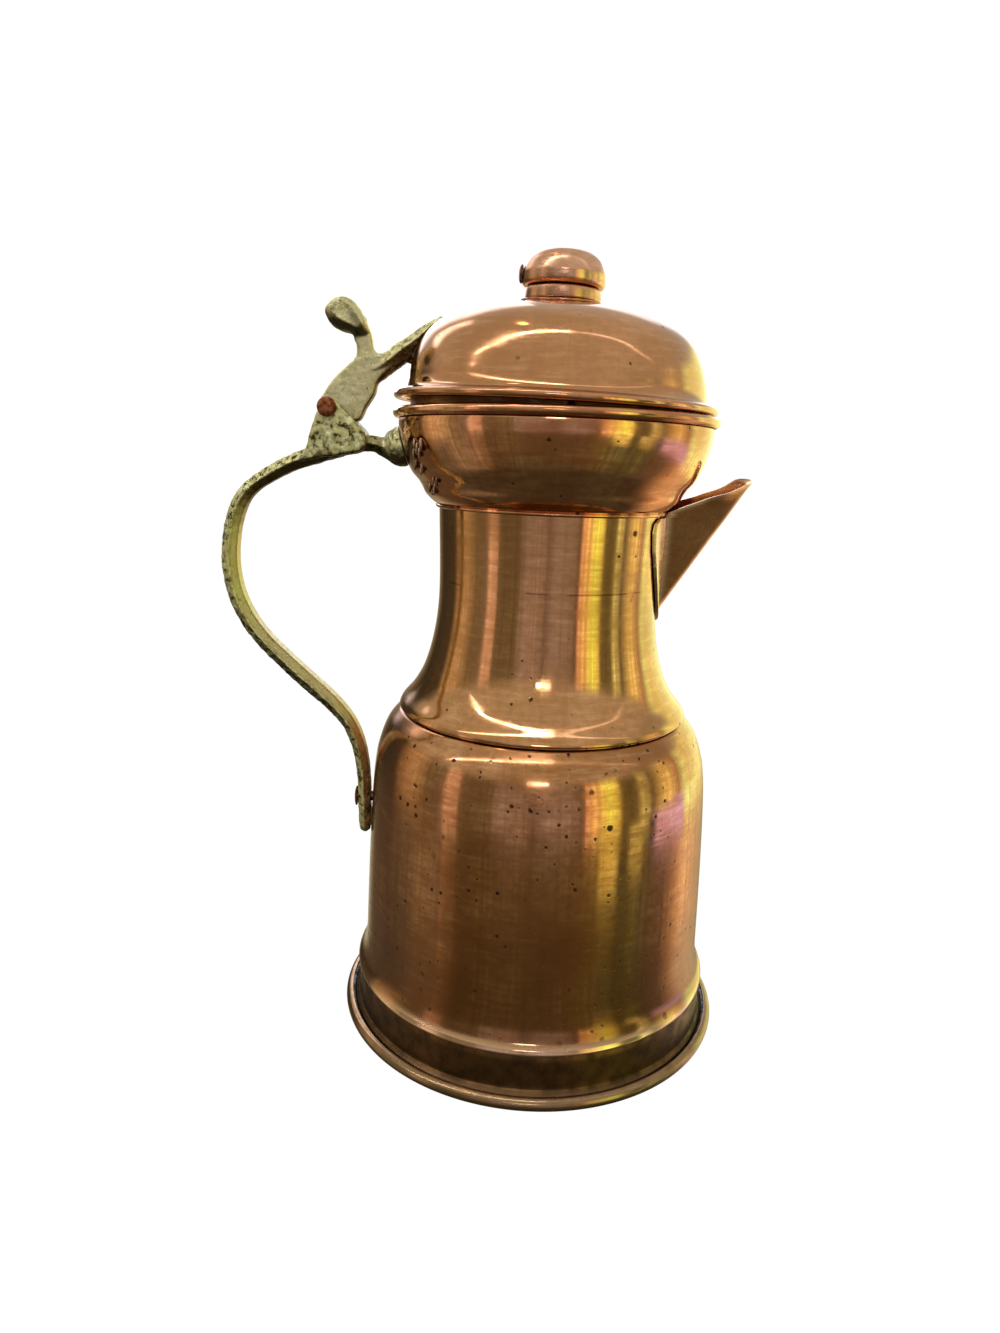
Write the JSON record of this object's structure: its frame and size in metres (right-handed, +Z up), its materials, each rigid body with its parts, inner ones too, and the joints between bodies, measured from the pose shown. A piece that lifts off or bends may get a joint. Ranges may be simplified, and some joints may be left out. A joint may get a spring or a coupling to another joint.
{
  "type": "lidded jug",
  "caption": "Lidded copper jug with a stepped foot, narrow neck, flared mouth bowl, folded beak spout, cast brass strap handle and a hinged domed lid with a thumb piece.",
  "frame": {"origin": "centre of the foot, half a millimetre below the middle of the base disc's underside", "axes": "+Z up along the jug's axis, +X towards the spout, -X towards the handle and the hinge"},
  "size_m": [0.162, 0.124, 0.2381],
  "materials": {
    "copper": "polished, fine spinning lines, tarnish specks",
    "dark_copper": "dark patina, polished only on its edges",
    "cast_brass": "sand cast, filed, worn where the hand lies",
    "pin_copper": "matte, hammered heads",
    "iron_wire": "dull drawn wire"
  },
  "bodies": {
    "jug": {"foot_ring": "dark_copper", "foot_wire": "iron_wire", "base_disc": "copper", "lower_body": "copper", "neck": "copper", "mouth_bowl": "copper", "rim_wire": "iron_wire", "spout": "copper", "handle": "cast_brass", "stud_washer": "copper", "handle_stud": "pin_copper", "tail_washer": "copper", "tail_rivet": "pin_copper", "hinge_pin": "pin_copper"},
    "lid": {"lid_dome": "copper", "lid_wire": "iron_wire", "lid_bezel": "copper", "knob_collar": "copper", "knob_cap": "copper", "knob_washer": "copper", "knob_rivet": "pin_copper", "lid_arm_rivet_1": "pin_copper", "lid_arm_rivet_2": "pin_copper", "lid_lever": "cast_brass"}
  },
  "joints": [
    {"name": "lid_hinge", "type": "hinge", "parent": "jug", "child": "lid", "pos_m": [-0.067, 0, 0.1917], "axis": [0, -1, 0], "range_deg": [0, 120]}
  ]
}
